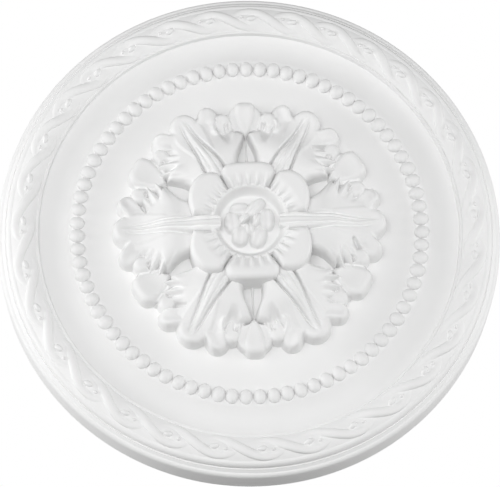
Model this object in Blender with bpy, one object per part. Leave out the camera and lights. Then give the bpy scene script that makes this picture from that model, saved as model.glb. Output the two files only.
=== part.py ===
"""Round ceiling rose cast in one piece.

From the rim inwards its face has a plain upright edge, a broad and a narrow fillet, a rope band of
crossing strands with a berry and a dot in each eye, a small step, a hollow cove, a ring of beads, a
plain field and, in the middle, six acanthus leaves round a six petalled flower. The back is flat.

Frame: metres, +Z up. The back lies in the plane y = 0 with its middle at the origin, and the face
looks along -Y, as it does on a wall. The whole face is one relief: a height above the back for each
place in the plan. It is sampled on fine rings, closed by the edge and the back into one body, and a
modifier then thins the places that are nearly flat.
"""

import math

import bmesh
import bpy
import numpy as np

# Sizes of the moulded rings, in metres, from the rim inwards
OUTER_RADIUS = 0.2000
EDGE_HEIGHT = 0.0250
SHOULDER_WIDTH = 0.0035
SHOULDER_RISE = 0.0044
OUTER_ROUND_WIDTH = 0.0024
OUTER_ROUND_RISE = 0.0022
CREASE_WIDTH = 0.0008
CREASE_DROP = 0.0005
SECOND_ROUND_WIDTH = 0.0041
SECOND_ROUND_RISE = 0.0055
ROPE_MARGIN = 0.0004
ROPE_WIDTH = 0.0194
STEP_RISE = 0.0006
STEP_WIDTH = 0.0022
STEP_DROP = 0.0040
STEP_SLANT = 0.0006
COVE_WIDTH = 0.0228
COVE_SAG = 0.0024
COVE_RISE = 0.0022
BEAD_MARGIN = 0.0006
BEAD_LENGTH = 0.0126
BEAD_PITCH = 0.0109
BEAD_RISE = 0.0048
BED_EDGE = 0.0020
BED_SLANT = 0.0044
FIELD_DROP = 0.0008

# Sizes of the rope, in metres; its crossings are spaced a little unevenly round the band
ROPE_PITCH = 0.0351
ROPE_CROWN = 0.0028
STRAND_WIDTH = 0.0078
STRAND_RISE = 0.0026
STRAND_DIP = 0.0026
INNER_DIP = 0.0015
BERRY_LENGTH = 0.0080
BERRY_WIDTH = 0.0046
BERRY_RISE = 0.0025
DOT_LENGTH = 0.0038
DOT_WIDTH = 0.0028
DOT_RISE = 0.0017
DOT_SHIFT = 0.0014
BERRY_PLACE = 0.44
DOT_PLACE = 0.68
DRIFT = 0.32
DRIFT_FROM = math.radians(335)

# Sizes of the leaf and flower relief, in metres
LEAF_REACH = 0.1130
CARVING_RISE = 0.0315
LEAF_COUNT = 6
LEAF_TURN = math.radians(2.5)
CLIFF = 0.0016
BLEND = 0.0007

# Fineness of the mesh: sides of the plain rim and of the relief, spacing of the rings, and how many
# triangles are kept
ROUND_SIDES = 96
FINE_SIDES = 8 * ROUND_SIDES
ROPE_SPACING = 0.0009
CARVING_SPACING = 0.0010
PLAIN_SPACING = 0.0030
TRIANGLES = 9800

# From here on, plan places are shares of the leaf's reach, across and along it, and heights are shares
# of the carving's rise. A form is its root, bend and tip, and its half widths along the way.

# A main leaf: heights along its middle, fall to its sides, half width of its undivided part
SPINE = ((0.28, 0.54), (0.40, 0.64), (0.47, 0.75), (0.53, 0.80), (0.60, 0.76), (0.68, 0.62))
SPINE += ((0.76, 0.49), (0.82, 0.46), (0.90, 0.51), (0.97, 0.59), (1.04, 0.60))
SIDE_FALL = 2.2
BODY = ((0.20, 0.12), (0.36, 0.205), (0.43, 0.205), (0.50, 0.238), (0.55, 0.288), (0.59, 0.322))
BODY += ((0.62, 0.250), (0.66, 0.207), (0.72, 0.190), (0.78, 0.205), (0.86, 0.205), (0.90, 0.17))
BODY_START = 0.20
BODY_END = 0.885
LEAF_EDGE = 0.046
LEAF_EDGE_FALL = 0.24

# Its lobes, and the rib on its middle
TIP_LOBE = ((0, 0.62), (0, 0.75), (0, 0.850), (0.09, 0.110, 0.122, 0.118))
TIP_DISH = 0.05
LIFT_EDGE = 0.03
SECOND_LOBE = ((0.07, 0.70), (0.12, 0.79), (0.190, 0.846), (0.06, 0.075, 0.084, 0.086))
SECOND_CURL = 0.10
SECOND_CURL_SPAN = (0.35, 1.0)
FINGERS = (
    ((0.10, 0.655), (0.20, 0.715), (0.318, 0.800), (0.05, 0.050, 0.042, 0.020)),
    ((0.08, 0.595), (0.20, 0.650), (0.344, 0.728), (0.05, 0.052, 0.043, 0.020)),
    ((0.06, 0.530), (0.19, 0.575), (0.338, 0.648), (0.05, 0.055, 0.044, 0.022)),
)
FINGER_LIFT = 0.085
FINGER_LIFT_SPAN = (0.30, 0.75)
RIB = ((0, 0.60), (0, 0.90), (0.070, 0.055, 0.030, 0.014))
RIB_ROOT = (0, 0.36)
LEVEL_RIB = ((0, 0.60), (0, 0.92), (0.058, 0.046, 0.030, 0.010))
LEVEL_RIB_ROOT = (0, 0.25)
LEVEL_RIB_CLIMB = 0.30
LEVEL_RIB_CLIMB_SPAN = (0.30, 0.52)
RIB_CROWN = 0.09
RIB_GROOVE = 0.20
RIB_GROOVE_WIDTH = 0.011
RIB_SHALLOW_SPAN = (0.40, 0.80)
RIB_GROOVE_END = (0.80, 0.90)
RIB_END = (0.84, 0.93)

# The side of a leaf that faces the top or the bottom eye, with the lobe that curls back round a pit
QUIET_BODY = ((0.20, 0.12), (0.36, 0.17), (0.43, 0.182), (0.50, 0.235), (0.55, 0.297), (0.60, 0.338))
QUIET_BODY += ((0.65, 0.300), (0.71, 0.240), (0.78, 0.210), (0.86, 0.205), (0.90, 0.17))
CURL = (0.226, 0.712)
CURL_RADIUS = 0.086
CURL_CREST = 0.064
CURL_LIFT = 0.12
CURL_PIT = 0.24

# The leaves that show between the main ones, with the floor of the eye before each
WEB = ((0, 0.69), (0, 0.74), (0, 0.79), (0.04, 0.140, 0.205, 0.140))
UPRIGHT_WEB = ((0, 0.70), (0, 0.74), (0, 0.79), (0.03, 0.120, 0.200, 0.140))
WEB_HEIGHT = 0.34
FLANK = ((0.06, 0.66), (0.13, 0.70), (0.165, 0.790), (0.040, 0.056, 0.068, 0.070))
FLANK_HEIGHT = 0.42
TONGUE_ROOT = 0.60
TONGUE_MIDDLE = 0.80
TONGUE_END = 0.945
TONGUE_HALF = ((0.60, 0.030), (0.68, 0.052), (0.74, 0.080), (0.80, 0.102), (0.90, 0.112), (0.96, 0.108))
TONGUE_BLUNT = 3.4
TONGUE_WIDTH = 1.08
UPRIGHT_TONGUE_WIDTH = 0.80
TONGUE_NECK = 0.08
TONGUE_NECK_SPAN = (0.63, 0.72)
TONGUE_HEIGHT = 0.40
TONGUE_CURL = 0.12
TONGUE_CURL_SPAN = (0.76, 0.93)
EYE_FLOOR = ((0, 0.40), (0, 0.50), (0, 0.66), (0.12, 0.11, 0.07))
EYE_HEIGHT = 0.13

# The flower
PETAL_END = 0.442
PETAL_HALF_WIDTH = 0.205
PETAL_MIDDLE = 0.265
PETAL_BLUNT = 4.2
SIDE_PETAL_STRETCH = 1.12
SIDE_PETAL_BLUNT = 2.1
SIDE_PETAL_LEAN = 0.055
PETAL_EDGE = 0.040
PETAL_EDGE_FALL = 0.18
PETAL_LAP = 0.006
LEVEL_GAP = 0.045
PETAL_RIBS = 5
PETAL_RIB_RISE = 0.06
BOWL_SHARE = 0.6
BOWL_WALL = 0.022
BOWL_HEIGHT = 0.50
LIP_HEIGHT = 0.86
BUD_RADIUS = 0.25
BUD_RISE = 0.20
LEAFLET_RISE = 0.26
LEAFLET_BLUNT = 2.4
LEAFLET_ROUND = 0.4

# Leaflets of the bud: angle in degrees, distance out, half length, half width, spin in degrees, top
BUD_LEAFLETS = (
    (12, 0.118, 0.084, 0.056, 80, 0.85),
    (72, 0.108, 0.092, 0.046, -25, 0.88),
    (128, 0.118, 0.070, 0.054, 60, 0.84),
    (180, 0.120, 0.082, 0.058, 95, 0.87),
    (236, 0.118, 0.074, 0.058, 30, 0.85),
    (300, 0.118, 0.078, 0.058, -50, 0.83),
    (150, 0.047, 0.050, 0.030, 70, 0.90),
    (268, 0.052, 0.048, 0.036, 10, 0.87),
    (22, 0.048, 0.052, 0.032, 50, 0.90),
)


def ring_stations():
    """Radius and height of each turn of the moulded rings, from the rim to the field, by name."""
    steps = (
        ("edge", 0.0, 0.0),
        ("shoulder", SHOULDER_WIDTH, SHOULDER_RISE),
        ("outer_top", OUTER_ROUND_WIDTH, OUTER_ROUND_RISE),
        ("crease", CREASE_WIDTH, -CREASE_DROP),
        ("second_top", SECOND_ROUND_WIDTH, SECOND_ROUND_RISE),
        ("rope_outer", ROPE_MARGIN, 0.0),
        ("rope_inner", ROPE_WIDTH, 0.0),
        ("step_outer", ROPE_MARGIN, STEP_RISE),
        ("step_inner", STEP_WIDTH - ROPE_MARGIN, 0.0),
        ("cove_outer", STEP_SLANT, -STEP_DROP),
        ("cove_inner", COVE_WIDTH, COVE_RISE),
        ("bead_middle", BEAD_MARGIN + BEAD_LENGTH / 2, 0.0),
    )
    radius, height = OUTER_RADIUS, EDGE_HEIGHT
    station = {}
    for name, inwards, up in steps:
        radius -= inwards
        height += up
        station[name] = (radius, height)
    station["bed_edge"] = (radius + BED_EDGE, height)
    station["field"] = (radius + BED_EDGE - BED_SLANT, height - FIELD_DROP)
    return station


STATION = ring_stations()


def arc_between(start, end, steps, bulge):
    """Points of a turned profile between two stations that swell by a bulge across the chord."""
    points = []
    for i in range(steps + 1):
        t = i / steps
        swell = bulge * 4 * t * (1 - t)
        points.append((start[0] + t * (end[0] - start[0]), start[1] + t * (end[1] - start[1]) + swell))
    return points


def quarter_round(start, end, steps):
    """Points of a rounded fillet that leaves the start upright and reaches the end level."""
    points = []
    for i in range(steps + 1):
        angle = math.pi / 2 * i / steps
        radius = end[0] + (start[0] - end[0]) * math.cos(angle)
        points.append((radius, start[1] + (end[1] - start[1]) * math.sin(angle)))
    return points


def turned_profile():
    """The plain rings as one profile of radius and height, from the rim to the middle."""
    s = STATION
    points = quarter_round(s["edge"], s["shoulder"], 3)
    points += [s["outer_top"]]
    points += quarter_round(s["crease"], s["second_top"], 3)
    points += [s["rope_outer"], s["rope_inner"], s["step_outer"], s["step_inner"]]
    points += arc_between(s["cove_outer"], s["cove_inner"], 4, -COVE_SAG)
    points += [s["bed_edge"], s["field"], (0.0, s["field"][1])]
    return points


PROFILE = turned_profile()


def ring_height(radius):
    """Height of the plain turned rings at a radius."""
    places = [p[0] for p in reversed(PROFILE)]
    heights = [p[1] for p in reversed(PROFILE)]
    return np.interp(radius, places, heights)


# The rope band


def rope_middle():
    """Radius of the middle of the rope band."""
    return (STATION["rope_outer"][0] + STATION["rope_inner"][0]) / 2


def rope_units():
    """How many crossings fit round the band."""
    return max(3, round(2 * math.pi * rope_middle() / ROPE_PITCH))


def rope_place(angle):
    """Place along the rope at an angle, counted in crossings."""
    unit = 2 * math.pi / rope_units()
    place = angle / unit
    for _ in range(2):
        place = angle / unit - DRIFT * (np.cos(place * unit - DRIFT_FROM) - 1)
    return place


def rope_bed(offset):
    """Height of the rope's bed over its foot, fuller on the inner side of its middle."""
    share = np.clip(np.abs(offset) / (ROPE_WIDTH / 2), 0, 1)
    return ROPE_CROWN * (1 - np.where(offset > 0, share**2, share**4))


def strand_height(turn, across):
    """Height over the foot of one strand, highest where it crosses over the other."""
    sway = (ROPE_WIDTH - STRAND_WIDTH) / 2
    offset = sway * np.sin(math.pi * turn)
    slope = sway * math.pi * np.cos(math.pi * turn) / ROPE_PITCH
    share = (across - offset) / (STRAND_WIDTH / 2 * np.sqrt(1 + slope**2))
    dip = STRAND_DIP * (1 - np.cos(math.pi * turn)) / 2 + INNER_DIP * np.clip(-offset / sway, 0, 1)
    top = rope_bed(offset) - dip + STRAND_RISE * np.sqrt(np.clip(1 - share**2, 0, 1))
    return np.where((np.abs(turn) < 1) & (np.abs(share) < 1), top, 0)


def berry_height(turn, across, length, width, rise):
    """Height over the foot of a berry at the start of a turn, and 0 outside it."""
    along = turn * 2 * math.pi / rope_units() * rope_middle() / (length / 2)
    inside = 1 - along**2 - (across / (width / 2)) ** 2
    return np.where(inside > 0, ROPE_CROWN + rise * np.sqrt(np.clip(inside, 0, 1)), 0)


def rope_height(angle, radius):
    """Height of the rope band over its foot: the highest of the bed, the strands and the berries."""
    place = rope_place(angle)
    across = radius - rope_middle()
    height = rope_bed(across)
    for step in (-1, 0, 1, 2):
        height = np.maximum(height, strand_height(place - np.floor(place) - step, across))
    berry = np.mod(place - BERRY_PLACE + 0.5, 1) - 0.5
    height = np.maximum(height, berry_height(berry, across, BERRY_LENGTH, BERRY_WIDTH, BERRY_RISE))
    dot = np.mod(place - DOT_PLACE + 0.5, 1) - 0.5
    return np.maximum(height, berry_height(dot, across - DOT_SHIFT, DOT_LENGTH, DOT_WIDTH, DOT_RISE))


# The bead ring


def bead_count():
    """How many beads fit round the ring."""
    return max(3, round(2 * math.pi * STATION["bead_middle"][0] / BEAD_PITCH))


def bead_height(angle, radius):
    """Height of the beads above the back, and 0 between them."""
    middle, foot = STATION["bead_middle"]
    unit = 2 * math.pi / bead_count()
    along = (angle / unit - np.round(angle / unit)) * unit * middle / (BEAD_PITCH / 2)
    inside = 1 - along**2 - ((radius - middle) / (BEAD_LENGTH / 2)) ** 2
    return np.where(inside > 0, foot + BEAD_RISE * np.sqrt(np.clip(inside, 0, 1)), 0)


# Tools for the carving


def curve_points(form, steps):
    """Points along the middle of a form, from its root to its tip."""
    root, bend, tip = (np.array(p, float) for p in form[:3])
    t = np.linspace(0, 1, steps + 1)[:, None]
    return (1 - t) ** 2 * root + 2 * t * (1 - t) * bend + t**2 * tip


def measure(form, u, v):
    """Distance inside a form's edge, place along it, and share of its half width, at plan places."""
    line = curve_points(form, 10)
    best = np.full(u.shape, 1e9)
    place = np.zeros_like(u)
    for i in range(len(line) - 1):
        (au, av), (bu, bv) = line[i], line[i + 1]
        span = (bu - au) ** 2 + (bv - av) ** 2
        t = np.clip(((u - au) * (bu - au) + (v - av) * (bv - av)) / span, 0, 1)
        distance = np.hypot(u - au - t * (bu - au), v - av - t * (bv - av))
        nearer = distance < best
        best = np.where(nearer, distance, best)
        place = np.where(nearer, (i + t) / (len(line) - 1), place)
    half = np.interp(place, np.linspace(0, 1, len(form[3])), form[3])
    return half - best, place, np.clip(best / half, 0, 1)


def ease(x, low, high):
    """A smooth step from 0 at one place to 1 at another."""
    t = np.clip((x - low) / (high - low), 0, 1)
    return t * t * (3 - 2 * t)


def along(points, x):
    """Value at a place of a line through points."""
    places, values = zip(*points)
    return np.interp(x, places, values)


def joined(insides):
    """Inside distance of joined forms, softly rounded where they meet."""
    soft = BLEND / LEAF_REACH
    stack = np.stack(insides) / soft
    top = stack.max(axis=0)
    return (top + np.log(np.exp(stack - top).sum(axis=0))) * soft


def standing(inside, top, edge, fall):
    """A form with an upright side and a rounded upper edge, and 0 outside it."""
    cliff = CLIFF / LEAF_REACH
    x = np.clip((inside - cliff) / edge, 0, 1)
    rounded = top - fall * (1 - np.sqrt(np.clip(1 - (1 - x) ** 2, 0, 1)))
    return rounded * np.clip(inside / cliff, 0, 1)


# The main leaves


def second_lobe(u, v):
    """Inside distance and crown of the broad lobe beside the tip, which curls up at its end."""
    inside, place, _ = measure(SECOND_LOBE, u, v)
    return inside, SECOND_CURL * ease(place, *SECOND_CURL_SPAN) * ease(inside, 0, LIFT_EDGE)


def finger(form, u, v):
    """Inside distance and crown of a rounded finger at the leaf's side."""
    inside, place, share = measure(form, u, v)
    return inside, FINGER_LIFT * (1 - share**2) * ease(place, *FINGER_LIFT_SPAN)


def curled_lobe(u, v):
    """Inside distance and crown of the lobe that curls back round a pit."""
    out = np.hypot(u - CURL[0], v - CURL[1])
    ring = np.exp(-(((out - CURL_CREST) / (CURL_CREST / 3)) ** 2))
    pit = np.exp(-((out / (CURL_CREST / 2)) ** 2))
    return CURL_RADIUS - out, CURL_LIFT * ring - CURL_PIT * pit


def undivided(u, v, quiet):
    """Inside distance of the part of a leaf between its lobes."""
    half = along(BODY, v)
    if quiet:
        half = np.where(u * quiet > 0, along(QUIET_BODY, v), half)
    return np.minimum(half - np.abs(u), np.minimum(v - BODY_START, BODY_END - v))


def with_rib(height, surface, u, v, level):
    """Adds the middle rib between its two grooves to a leaf; a level rib climbs to the bowl."""
    form = (LEVEL_RIB_ROOT,) + LEVEL_RIB if level else (RIB_ROOT,) + RIB
    inside, place, share = measure(form, u, v)
    depth = RIB_GROOVE * (1 - ease(v, *RIB_SHALLOW_SPAN) / 2) * (1 - ease(v, *RIB_GROOVE_END))
    if level:
        depth = depth / 3
        surface = surface + LEVEL_RIB_CLIMB * (1 - ease(v, *LEVEL_RIB_CLIMB_SPAN))
    groove = depth * np.exp(-(((inside + RIB_GROOVE_WIDTH) / RIB_GROOVE_WIDTH) ** 2))
    rib = surface + RIB_CROWN * (1 - share**2) * (1 - 0.6 * place)
    fade = ease(v, *RIB_END)
    return np.where(inside > 0, rib * (1 - fade) + height * fade, np.maximum(height - groove, 0))


def leaf_height(u, v, level, quiet):
    """Height of one main leaf; quiet is 1 or -1 for the side that faces an upright eye, or 0."""
    surface = along(SPINE, v) - SIDE_FALL * u**2
    inside, _, share = measure(TIP_LOBE, u, v)
    insides = [undivided(u, v, quiet), inside]
    crown = TIP_DISH * share**2 * ease(inside, 0, LIFT_EDGE)
    for side in (1, -1):
        lobes = [second_lobe(side * u, v)]
        if side != quiet:
            lobes += [finger(form, side * u, v) for form in FINGERS]
        for inside, lift in lobes:
            insides.append(inside)
            crown = np.maximum(crown, lift * (inside > 0))
    if quiet:
        inside, curl = curled_lobe(quiet * u, v)
        insides.append(inside)
        crown = crown + curl
    height = standing(joined(insides), surface + crown, LEAF_EDGE, LEAF_EDGE_FALL)
    return np.where(height > 0, with_rib(height, surface, u, v, level), 0)


# The leaves behind them


def tongue_height(u, v, width):
    """Height of the blunt shield at the end of a back leaf."""
    half = along(TONGUE_HALF, v) * width
    share = np.abs(u) / half
    end = np.clip(v - TONGUE_MIDDLE, 0, 1) / (TONGUE_END - TONGUE_MIDDLE)
    inside = (1 - (share**TONGUE_BLUNT + end**TONGUE_BLUNT) ** (1 / TONGUE_BLUNT)) * half
    top = TONGUE_HEIGHT + TONGUE_CURL * ease(v, *TONGUE_CURL_SPAN)
    return np.where(v > TONGUE_ROOT, standing(inside, top, LEAF_EDGE, LEAF_EDGE_FALL), 0)


def back_leaf_height(u, v, upright):
    """Height of one leaf that shows between two main ones; upright for those above and below."""
    floor = np.full(u.shape, EYE_HEIGHT)
    height = standing(measure(EYE_FLOOR, u, v)[0], floor, LEAF_EDGE, 0.0)
    web = np.full(u.shape, WEB_HEIGHT)
    inside = measure(UPRIGHT_WEB if upright else WEB, u, v)[0]
    height = np.maximum(height, standing(inside, web, LEAF_EDGE, LEAF_EDGE_FALL))
    flank = np.full(u.shape, FLANK_HEIGHT)
    for side in (u, -u):
        inside = measure(FLANK, side, v)[0]
        height = np.maximum(height, standing(inside, flank, LEAF_EDGE, LEAF_EDGE_FALL))
    neck = TONGUE_NECK + (1 - TONGUE_NECK) * ease(v, *TONGUE_NECK_SPAN)
    width = (UPRIGHT_TONGUE_WIDTH if upright else TONGUE_WIDTH) * neck
    return np.maximum(height, tongue_height(u, v, width))


# The flower


def petal_inside(u, v, level_side):
    """How far inside the edge of one petal each place is; a level rib passes it on one side."""
    reach = PETAL_END * (SIDE_PETAL_STRETCH if level_side else 1) - PETAL_MIDDLE
    blunt = SIDE_PETAL_BLUNT if level_side else PETAL_BLUNT
    out = np.clip(v - PETAL_MIDDLE, 0, 1) / reach
    aside = np.abs(u + level_side * SIDE_PETAL_LEAN * out) / PETAL_HALF_WIDTH
    sector = v * math.sin(math.pi / LEAF_COUNT) - np.abs(u) * math.cos(math.pi / LEAF_COUNT)
    sector += np.where(u * level_side > 0, -LEVEL_GAP, PETAL_LAP)
    return np.minimum((1 - (aside**blunt + out**blunt) ** (1 / blunt)) * reach, sector)


def petal_height(u, v, level_side):
    """Height of one petal, ribbed at its inner end by the bowl."""
    radius = np.hypot(u, v)
    inside = np.minimum(petal_inside(u, v, level_side), radius - bowl_radius() + BOWL_WALL)
    ribs = np.clip(np.cos(np.arctan2(u, v) * LEAF_COUNT * PETAL_RIBS), -0.4, 1)
    ribs = PETAL_RIB_RISE * ribs * (1 - ease(radius, bowl_radius(), PETAL_END - PETAL_EDGE))
    top = LIP_HEIGHT + (1 - LIP_HEIGHT) * ease(radius, bowl_radius(), PETAL_END - 2 * PETAL_EDGE) + ribs
    return standing(inside, top, PETAL_EDGE, PETAL_EDGE_FALL)


def bowl_radius():
    """Radius of the bowl, which takes up the inner share of the upright petals' length."""
    return BOWL_SHARE * PETAL_END


def bud_height(u, v):
    """Height of the bowl and of the folded leaflets of the bud in it."""
    radius = np.hypot(u, v)
    wall = ease(radius, bowl_radius() - 3 * BOWL_WALL, bowl_radius())
    height = BOWL_HEIGHT + (LIP_HEIGHT - BOWL_HEIGHT) * wall
    height = height + BUD_RISE * np.clip(1 - (radius / BUD_RADIUS) ** 2, 0, 1) ** 2
    for angle, out, length, width, spin, top in BUD_LEAFLETS:
        place = math.radians(angle)
        turn = math.radians(angle + spin)
        du = u - out * math.cos(place)
        dv = v - out * math.sin(place)
        lengthwise = np.abs(du * math.cos(turn) + dv * math.sin(turn)) / length
        across = np.abs(dv * math.cos(turn) - du * math.sin(turn)) / width
        inside = 1 - lengthwise**LEAFLET_BLUNT - across**LEAFLET_BLUNT
        leaflet = top - LEAFLET_RISE * (1 - np.clip(inside, 0, 1) ** LEAFLET_ROUND)
        height = np.where(inside > 0, np.maximum(height, leaflet), height)
    return height


# The whole relief


def turned(x, y, angle):
    """Across and along places of plan points on an axis at an angle, as shares of the leaf's reach."""
    u = (-x * math.sin(angle) + y * math.cos(angle)) / LEAF_REACH
    v = (x * math.cos(angle) + y * math.sin(angle)) / LEAF_REACH
    return u, v


def sides_to_upright(i):
    """Whether leaf i is one of the level pair, and which of its sides faces an upright eye."""
    third = i % (LEAF_COUNT // 2)
    return third == 0, (0, 1, -1)[third]


def flower_height(x, y):
    """Height of the flower over the field, and 0 outside it, as a share of the carving's rise."""
    radius = np.hypot(x, y) / LEAF_REACH
    height = np.where(radius < bowl_radius() - BOWL_WALL / 2, bud_height(*plan(x, y)), 0)
    for i in range(LEAF_COUNT):
        angle = LEAF_TURN + 2 * math.pi * (i + 0.5) / LEAF_COUNT
        level_side = (-1, 0, 1)[i % (LEAF_COUNT // 2)]
        height = np.maximum(height, petal_height(*turned(x, y, angle), level_side))
    return height


def plan(x, y):
    """Plan places as shares of the leaf's reach."""
    return x / LEAF_REACH, y / LEAF_REACH


def carving_height(x, y):
    """Height of the leaves and the flower above the field, at plan places."""
    height = np.zeros_like(x)
    for i in range(LEAF_COUNT):
        angle = LEAF_TURN + 2 * math.pi * i / LEAF_COUNT
        level, quiet = sides_to_upright(i)
        height = np.maximum(height, leaf_height(*turned(x, y, angle), level, quiet))
        between = turned(x, y, angle + math.pi / LEAF_COUNT)
        height = np.maximum(height, back_leaf_height(*between, quiet == 1))
    inner = np.hypot(x, y) < (bowl_radius() - BOWL_WALL) * LEAF_REACH
    height = np.where(inner, 0, height)
    return np.maximum(height, flower_height(x, y)) * CARVING_RISE


def relief_height(x, y):
    """Height of the whole face above the back, at plan places."""
    radius = np.hypot(x, y)
    angle = np.arctan2(y, x)
    height = ring_height(radius)
    in_band = (radius > STATION["rope_inner"][0]) & (radius < STATION["rope_outer"][0])
    height += np.where(in_band, rope_height(angle, radius), 0)
    height = np.maximum(height, bead_height(angle, radius))
    return height + carving_height(x, y)


# The mesh


def ring_radii():
    """Radii of the fine rings of the relief, closer together where the forms are finer."""
    bead_end = STATION["bead_middle"][0] - BEAD_LENGTH / 2 - BEAD_MARGIN
    spans = (
        (STATION["second_top"][0], STATION["cove_outer"][0], ROPE_SPACING),
        (STATION["cove_outer"][0], STATION["cove_inner"][0], PLAIN_SPACING),
        (STATION["cove_inner"][0], bead_end, ROPE_SPACING),
        (bead_end, LEAF_REACH, PLAIN_SPACING),
        (LEAF_REACH, CARVING_SPACING, CARVING_SPACING),
    )
    radii = []
    for outer, inner, spacing in spans:
        steps = max(1, math.ceil((outer - inner) / spacing))
        radii += list(np.linspace(outer, inner, steps, endpoint=False))
    return radii


def ring(bm, radius, height, sides):
    """A closed ring of vertices at a radius, at one height or at the relief's own."""
    angles = np.arange(sides) * 2 * math.pi / sides
    x = radius * np.cos(angles)
    y = radius * np.sin(angles)
    heights = relief_height(x, y) if height is None else np.full(sides, height)
    return [bm.verts.new(p) for p in zip(x, -heights, y)]


def join_rings(bm, outer, inner):
    """Faces between two rings, where the inner may have more vertices than the outer."""
    finer = len(inner) // len(outer)
    for i in range(len(outer)):
        following = (i + 1) % len(outer)
        run = [inner[(i * finer + step) % len(inner)] for step in range(finer, -1, -1)]
        bm.faces.new([outer[i], outer[following]] + run)


def rose_mesh(name):
    """The closed body: the flat back, the plain rim and the relief inside it."""
    bm = bmesh.new()
    coarse = [(OUTER_RADIUS, 0.0)] + [p for p in PROFILE if p[0] > STATION["second_top"][0]]
    rings = [ring(bm, radius, height, ROUND_SIDES) for radius, height in coarse]
    bm.faces.new(reversed(rings[0]))
    rings += [ring(bm, radius, None, FINE_SIDES) for radius in ring_radii()]
    for outer, inner in zip(rings, rings[1:]):
        join_rings(bm, outer, inner)
    bm.faces.new(rings[-1])
    bmesh.ops.recalc_face_normals(bm, faces=bm.faces)
    faces = len(bm.faces)
    mesh = bpy.data.meshes.new(name)
    bm.to_mesh(mesh)
    bm.free()
    return mesh, ROUND_SIDES * len(coarse), faces


def thin_relief(rose, plain, faces):
    """Thins the relief's flat and gently curved places and leaves the plain rim as it is."""
    group = rose.vertex_groups.new(name="relief")
    group.add(range(plain, len(rose.data.vertices)), 1.0, "REPLACE")
    thin = rose.modifiers.new("thin_relief", "DECIMATE")
    thin.vertex_group = group.name
    thin.vertex_group_factor = 1000
    thin.use_collapse_triangulate = True
    thin.ratio = TRIANGLES / (2 * faces)


def white_cast():
    """Smooth white casting compound."""
    material = bpy.data.materials.new("white_cast")
    material.use_nodes = True
    shader = material.node_tree.nodes["Principled BSDF"]
    shader.inputs["Base Color"].default_value = (0.86, 0.86, 0.85, 1)
    shader.inputs["Roughness"].default_value = 0.65
    shader.inputs["Metallic"].default_value = 0.0
    return material


def main():
    """Clears the scene and builds the rose."""
    for item in list(bpy.data.objects):
        bpy.data.objects.remove(item, do_unlink=True)
    mesh, plain, faces = rose_mesh("ceiling_rose")
    mesh.materials.append(white_cast())
    rose = bpy.data.objects.new("ceiling_rose", mesh)
    bpy.context.scene.collection.objects.link(rose)
    thin_relief(rose, plain, faces)


main()
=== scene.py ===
"""Looks of the moulded ceiling rose: finely carved meshes in white casting compound.

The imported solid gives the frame: its back lies in the plane y = 0, its face looks along -Y and +Z is
up. Every piece here is part of the one casting and rides on the root body. A height is measured from
the back, so a point of the face at plan place (x, z) and height h lies at (x, -h, z).
"""

import math
import random

import bmesh
import bpy
import numpy as np
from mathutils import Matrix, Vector


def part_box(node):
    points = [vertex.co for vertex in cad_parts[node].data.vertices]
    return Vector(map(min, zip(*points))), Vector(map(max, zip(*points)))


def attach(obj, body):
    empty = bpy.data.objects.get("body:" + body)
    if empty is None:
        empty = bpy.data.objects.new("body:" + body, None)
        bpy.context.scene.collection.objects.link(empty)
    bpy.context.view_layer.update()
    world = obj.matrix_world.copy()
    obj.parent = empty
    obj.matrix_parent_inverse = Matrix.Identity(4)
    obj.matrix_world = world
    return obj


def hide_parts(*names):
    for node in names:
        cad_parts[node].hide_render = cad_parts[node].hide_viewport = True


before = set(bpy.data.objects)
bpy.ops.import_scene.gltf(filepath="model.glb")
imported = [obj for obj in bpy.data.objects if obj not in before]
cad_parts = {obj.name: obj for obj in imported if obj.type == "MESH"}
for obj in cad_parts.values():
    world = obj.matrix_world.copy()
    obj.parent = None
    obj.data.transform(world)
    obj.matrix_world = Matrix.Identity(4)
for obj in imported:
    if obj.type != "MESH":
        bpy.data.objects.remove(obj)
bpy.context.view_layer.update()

NODE = "ceiling_rose"

# Moulded rings, in metres; a pair is a radius and a height above the back
LOW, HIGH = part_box(NODE)
OUTER_RADIUS = (HIGH.x - LOW.x) / 2
BACK_CHAMFER = 0.0008
EDGE_HEIGHT = 0.0250
CORNER_ROUND = 0.0003
OUTER_SHOULDER = (0.1965, 0.0294)
OUTER_TOP = (0.1941, 0.0316)
CREASE = (0.1933, 0.0311)
SECOND_TOP = (0.1892, 0.0366)
ROPE_FOOT = 0.0366
ROPE_CROWN = 0.0028
ROPE_OUTER = 0.1888
ROPE_INNER = 0.1694
STEP_HEIGHT = 0.0372
STEP_OUTER = 0.1688
STEP_INNER = 0.1672
COVE_OUTER = (0.1666, 0.0332)
COVE_INNER = (0.1438, 0.0354)
COVE_SAG = 0.0024
BEAD_BED = 0.0020
FIELD_RADIUS = 0.1345
FIELD_HEIGHT = 0.0346
FIELD_RINGS = (1, 0.95, 0.8, 0.6, 0.4, 0.2)
RING_SIDES = 512
SHARP_FROM = math.radians(28)

# Rope band, in metres; places along it are counted in crossings, which lie a little unevenly
CROSSINGS = 32
ROPE_MIDDLE = (ROPE_OUTER + ROPE_INNER) / 2
ROPE_DRIFT = 0.32
ROPE_DRIFT_FROM = math.radians(335)
STRAND_HALF = 0.0039
STRAND_RISE = 0.0026
STRAND_DIP = 0.0013
STRAND_SIDES = 18
STRAND_STEPS = 56
INNER_FLATTER = 0.0015
BERRY = (0.0023, 0.0040, 0.0025)
BERRY_PLACE = 0.44
BERRY_SHIFT = 0.0002
BERRY_SPIN = 0.25
DOT = (0.0013, 0.0018, 0.0017)
DOT_PLACE = 0.68
DOT_SHIFT = 0.0014

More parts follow.
